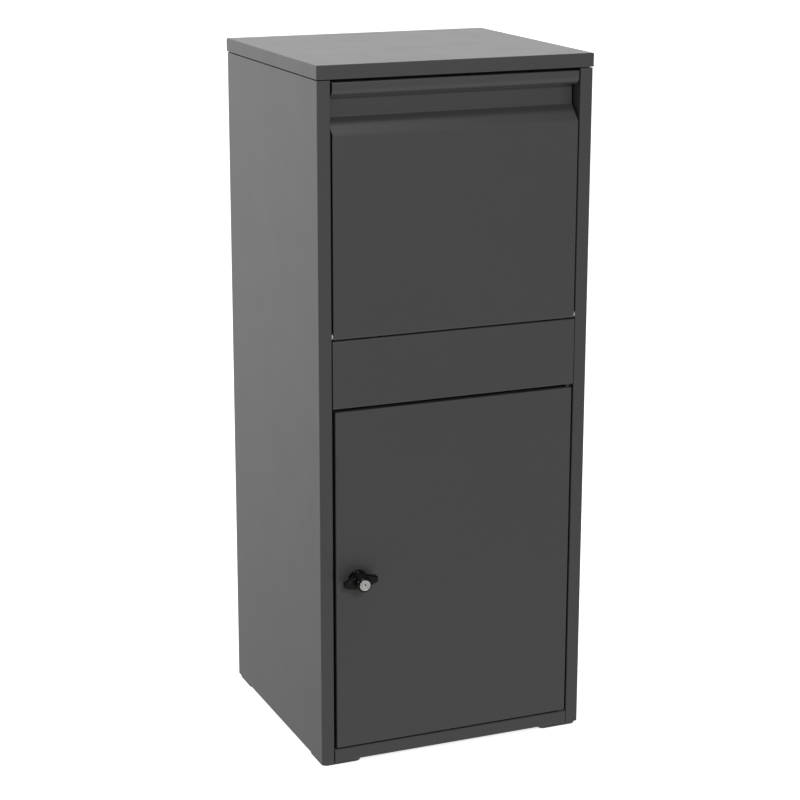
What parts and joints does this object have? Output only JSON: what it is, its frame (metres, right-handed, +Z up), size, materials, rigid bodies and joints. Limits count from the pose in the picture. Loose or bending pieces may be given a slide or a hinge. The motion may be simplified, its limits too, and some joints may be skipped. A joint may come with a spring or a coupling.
{
  "type": "parcel drop box",
  "caption": "Free-standing steel parcel box with a tilt-out drop door and hopper above, a fixed middle panel, and a lockable access door with a wing knob below.",
  "frame": {"origin": "centre of the cabinet's footprint, on the floor under the feet", "axes": "+X to the right seen from the front, the front face looks towards -Y, +Z up"},
  "size_m": [0.41, 0.4, 1],
  "materials": {
    "powder_coat": "satin fine-texture powder coat",
    "inner_coat": "satin powder coat",
    "zinc": "zinc-plated",
    "rubber": "matt",
    "foot_plastic": "moulded, fine texture",
    "nylon": "matt",
    "knob_plastic": "moulded, semi-gloss",
    "plug_metal": "satin nickel"
  },
  "bodies": {
    "cabinet": {"left_side_panel": "powder_coat", "right_side_panel": "powder_coat", "back_panel": "powder_coat", "floor_pan": "powder_coat", "front_rail": "powder_coat", "mid_panel": "powder_coat", "lintel": "powder_coat", "top_cap": "powder_coat", "cap_screws": "zinc", "back_rivets": "zinc", "mid_panel_rivets": "zinc", "feet": "foot_plastic", "foot_screws": "zinc", "drop_hinge_pins": "zinc", "drop_hinge_washers": "zinc", "access_hinge_bushes": "nylon", "lock_keeper": "zinc", "door_bumpers": "rubber", "lintel_bumpers": "rubber"},
    "drop_door": {"drop_door_skin": "powder_coat", "drop_door_liner": "inner_coat", "drop_hinge_bushes": "nylon", "hopper_side_left": "inner_coat", "hopper_side_right": "inner_coat", "hopper_tray": "inner_coat", "hopper_rivets": "zinc", "stop_studs": "zinc", "stop_buffers": "rubber"},
    "access_door": {"access_door_skin": "powder_coat", "access_door_stiffener": "inner_coat", "access_hinge_blocks": "zinc", "access_hinge_pins": "powder_coat", "lock_housing": "knob_plastic", "lock_nut": "zinc"},
    "lock_knob": {"wing_knob": "knob_plastic", "lock_spindle": "zinc", "lock_cam": "zinc", "cam_screw": "zinc"},
    "lock_plug": {"key_plug": "plug_metal"}
  },
  "joints": [
    {"name": "drop_door_tilt", "type": "hinge", "parent": "cabinet", "child": "drop_door", "pos_m": [0, -0.1795, 0.6315], "axis": [1, 0, 0], "range_deg": [0, 60]},
    {"name": "access_door_swing", "type": "hinge", "parent": "cabinet", "child": "access_door", "pos_m": [0.1774, -0.1795, 0.27575], "axis": [0, 0, 1], "range_deg": [0, 100]},
    {"name": "knob_turn", "type": "hinge", "parent": "access_door", "child": "lock_knob", "pos_m": [-0.149, -0.19, 0.279], "axis": [0, 1, 0], "range_deg": [0, 90]},
    {"name": "key_turn", "type": "hinge", "parent": "lock_knob", "child": "lock_plug", "pos_m": [-0.149, -0.21, 0.279], "axis": [0, 1, 0], "range_deg": [0, 90]}
  ]
}
